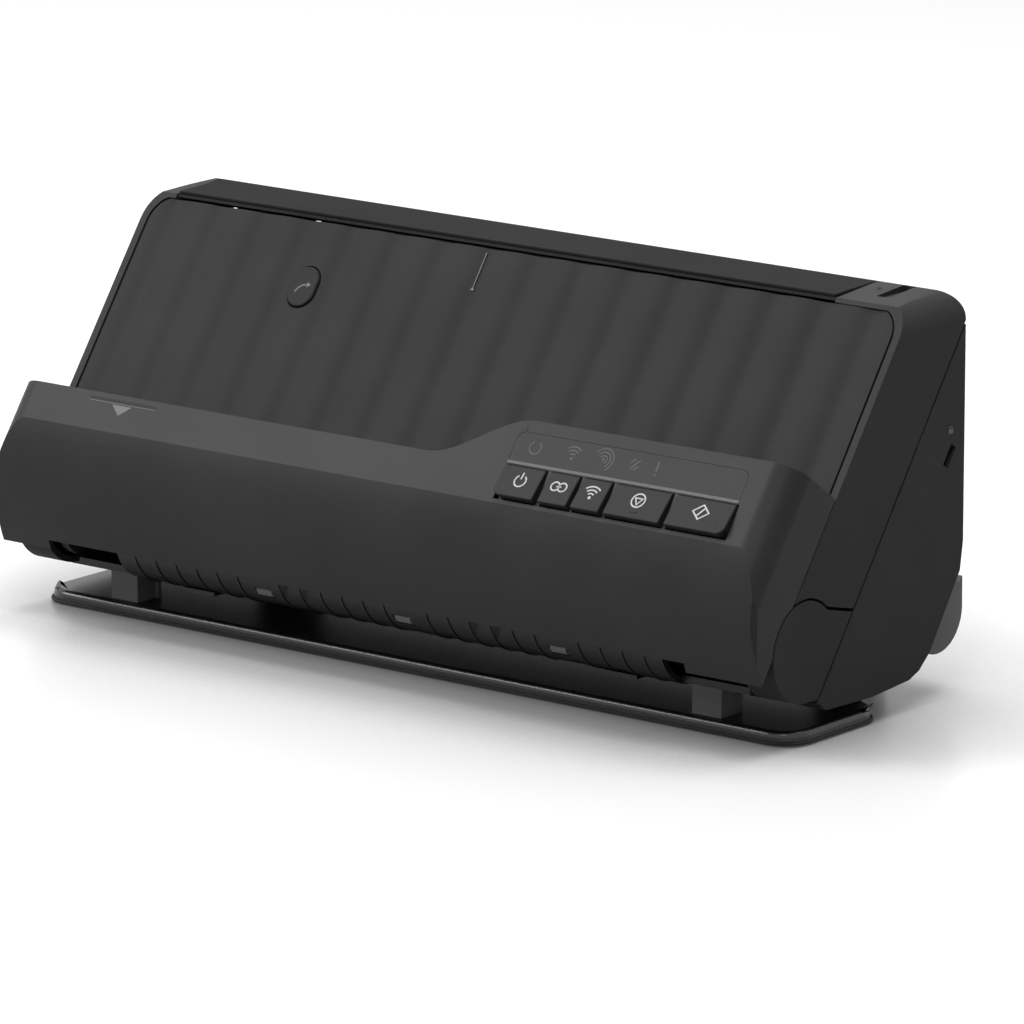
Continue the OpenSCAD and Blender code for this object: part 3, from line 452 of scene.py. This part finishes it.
# %% Strokes
def outline(sides, radius, width, at=(0, 0), turn=0, stretch=1):
    """A closed outline: a filled polygon whose middle is inset and cut away."""
    bpy.ops.mesh.primitive_circle_add(vertices=sides, radius=radius, fill_type="NGON")
    obj = bpy.context.object
    if width:
        bpy.ops.object.mode_set(mode="EDIT")
        bpy.ops.mesh.select_all(action="SELECT")
        bpy.ops.mesh.inset(thickness=width)
        bpy.ops.mesh.delete(type="FACE")
        bpy.ops.object.mode_set(mode="OBJECT")
    obj.rotation_euler.z = math.radians(turn)
    bpy.ops.object.transform_apply(location=False, rotation=True, scale=False)
    obj.scale.y = stretch
    obj.location = (*at, 0)
    return obj


def arc(radius, width, start, end, at=(0, 0)):
    """An open arc: one edge across the stroke, spun about the middle."""
    bpy.ops.mesh.primitive_plane_add(size=width, location=(radius, 0, 0))
    obj = bpy.context.object
    bpy.ops.object.transform_apply(location=True)
    bpy.ops.object.mode_set(mode="EDIT")
    bpy.ops.mesh.select_all(action="SELECT")
    bpy.ops.transform.resize(value=(1, 0, 1))
    bpy.ops.mesh.remove_doubles(threshold=width / 10)
    bpy.ops.mesh.spin(steps=max(4, round((end - start) / 12)), angle=math.radians(end - start),
                      center=(0, 0, 0), axis=(0, 0, -1))
    bpy.ops.object.mode_set(mode="OBJECT")
    obj.rotation_euler.z = math.radians(start)
    obj.location = (*at, 0)
    return obj


def bar(x0, y0, x1, y1, width):
    """A straight stroke from one point to another."""
    bpy.ops.mesh.primitive_plane_add(size=1)
    obj = bpy.context.object
    obj.scale = (math.hypot(x1 - x0, y1 - y0), width, 1)
    obj.rotation_euler.z = math.atan2(y1 - y0, x1 - x0)
    obj.location = ((x0 + x1) / 2, (y0 + y1) / 2, 0)
    return obj


def sign(name, strokes, material, body, x, u, out, board=FACE, thick=0.05):
    """Join the strokes, give them the thickness of ink and lay them on a board."""
    only(strokes[0])
    for obj in strokes:
        obj.select_set(True)
    if len(strokes) > 1:
        bpy.ops.object.join()
    obj = strokes[0]
    bpy.ops.object.transform_apply(location=True, rotation=True, scale=True)
    modifier(obj, "SOLIDIFY", thickness=2 * thick, offset=0)
    bpy.ops.object.mode_set(mode="EDIT")
    bpy.ops.mesh.select_all(action="SELECT")
    bpy.ops.mesh.normals_make_consistent(inside=False)
    bpy.ops.object.mode_set(mode="OBJECT")
    place = board @ Matrix.Translation(Vector((x, u, out)) * MM) @ Matrix.Scale(MM, 4)
    return settle(obj, name, material, body, place)


# %% Signs on the keys
def key_board(node):
    """A board on the key's top, which slants: its lower end stands further out."""
    slopes = (slope_of(v.co) for v in nodes[node].data.vertices)
    points = sorted({tuple(round(c, 2) for c in point) for point in slopes})
    low = max((p for p in points if p[0] < points[0][0] + 0.1), key=lambda p: p[1])
    high = max((p for p in points if p[0] > points[-1][0] - 0.1), key=lambda p: p[1])
    tilt = math.atan2(high[1] - low[1], high[0] - low[0])
    print("key top from", low, "to", high)
    start = Matrix.Translation(Vector((0, low[0], low[1])) * MM)
    return FACE @ start @ Matrix.Rotation(tilt, 4, "X")


def wave_arcs(radii, width):
    """The open arcs of a wireless sign, one above the other."""
    return [arc(radius, width, 47, 133) for radius in radii]


KEYS = key_board("stop_button")
sign("power_sign", [arc(2.05, 0.5, -235, 55), bar(0, 0.6, 0, 3.0, 0.5)],
     print_white, "power_key", 56.2, 5.8, 0, KEYS)
sign("link_sign", [outline(28, 1.75, 0.5, (-1.35, 0)), outline(28, 1.75, 0.5, (1.35, 0)),
                   bar(-0.9, 0, 0.9, 0, 0.45)],
     print_white, "link_key", 70.8, 6.1, 0, KEYS)
sign("wireless_sign", [outline(16, 0.55, 0)] + wave_arcs((1.5, 2.75, 4.0), 0.5),
     print_white, "wireless_key", 83.3, 4.3, 0, KEYS)
sign("stop_sign", [outline(36, 2.6, 0.5), outline(3, 2.0, 0.42, turn=180, stretch=0.95)],
     print_white, "stop_key", 100.8, 6.3, 0, KEYS)
sign("stop_bead", [outline(20, 1.5, 0, stretch=0.35)],
     print_black, "stop_key", 100.8, 2.4, 0, KEYS, thick=0.15)
sign("start_sign", [outline(4, 3.3, 0.5, stretch=0.86), bar(-0.9, -1.4, 0.9, 1.4, 0.5)],
     print_white, "start_key", 124.2, 6.2, 0, KEYS)
sign("start_dot", [outline(12, 0.4, 0)], print_black, "start_key", 131.6, 2.6, 0, KEYS)

# %% Faint signs behind the window
def outermost(node):
    """How far out of the machine a leaning node reaches, in mm."""
    return max(slope_of(v.co)[1] for v in nodes[node].data.vertices)


window_out = outermost("indicator_window")
window_signs = {
    "ready_lamp": ([arc(2.1, 0.45, -240, 60)], 55.7, 35.6),
    "wireless_lamp": ([outline(12, 0.5, 0)] + wave_arcs((1.5, 2.7, 3.9), 0.45), 70.0, 34.2),
    "access_point_lamp": ([arc(1.3, 0.45, -60, 150), arc(2.5, 0.45, -60, 150),
                           outline(12, 0.5, 0), arc(3.7, 0.45, -60, 150)], 81.6, 35.6),
    "sheet_lamp": ([bar(-1.2, -1.6, 1.6, 1.6, 0.5), bar(-1.6, 0.4, -0.2, 1.8, 0.5),
                    bar(0.2, -1.8, 1.6, -0.4, 0.5)], 93.4, 35.8),
    "alert_lamp": ([bar(0, -0.6, 0, 2.6, 0.6), outline(12, 0.4, 0, (0, -1.8))], 101.8, 35.4),
}
for name, (strokes, x, u) in window_signs.items():
    sign(name, strokes, print_grey, "output_cover", x, u, window_out)
print(len(window_signs), "lamp signs,", round(window_out, 2), "mm out of the hinge plane")

# %% Marks on the housings
GRIP_X = -104.6
sign("grip_line", [bar(-13.6, 0, 13.6, 0, 1.1)],
     print_black, "output_cover", GRIP_X, 26.6, window_out)
sign("grip_line_edge", [bar(-13.6, 0, 13.6, 0, 0.4)],
     print_grey, "output_cover", GRIP_X, 25.85, window_out)
sign("grip_triangle", [outline(3, 4.6, 0, turn=180, stretch=0.5)],
     print_pale, "output_cover", GRIP_X, 24.2, window_out)

button_low, button_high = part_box("release_button")
release_x = (button_low[0] + button_high[0]) / 2 / MM
sign("release_arrow", [arc(4.0, 0.5, 95, 165, (2.2, -2.6)),
                       outline(3, 1.1, 0, (2.5, 1.4), turn=-90)],
     print_pale, "release", release_x - 0.5, 82.8, outermost("release_button"))
sign("panel_line", [bar(0, -6.1, 0, 6.1, 0.3), outline(3, 0.9, 0, (0, -6.6))],
     print_pale, "scanner_cover", -11.0, 98.6, outermost("ribbed_panel") - 0.25)

TOP = Matrix.Translation((0, 0, cad_high.z))
sign("slot_dot", [outline(14, 0.7, 0)], print_black, "scanner_cover", 127.8, 35.2, 0, TOP)

# The lock slot in the right side has a small padlock above it.
SIDE = Matrix.Translation((cad_high.x, 0, 0)) @ Matrix(((0, 0, 1), (1, 0, 0), (0, 1, 0))).to_4x4()
sign("lock_sign", [bar(-1.1, -0.7, 1.1, -0.7, 1.4), arc(0.75, 0.3, 0, 180)],
     print_pale, "main_unit", 42.3, 84.3, 0, SIDE, thick=0.03)
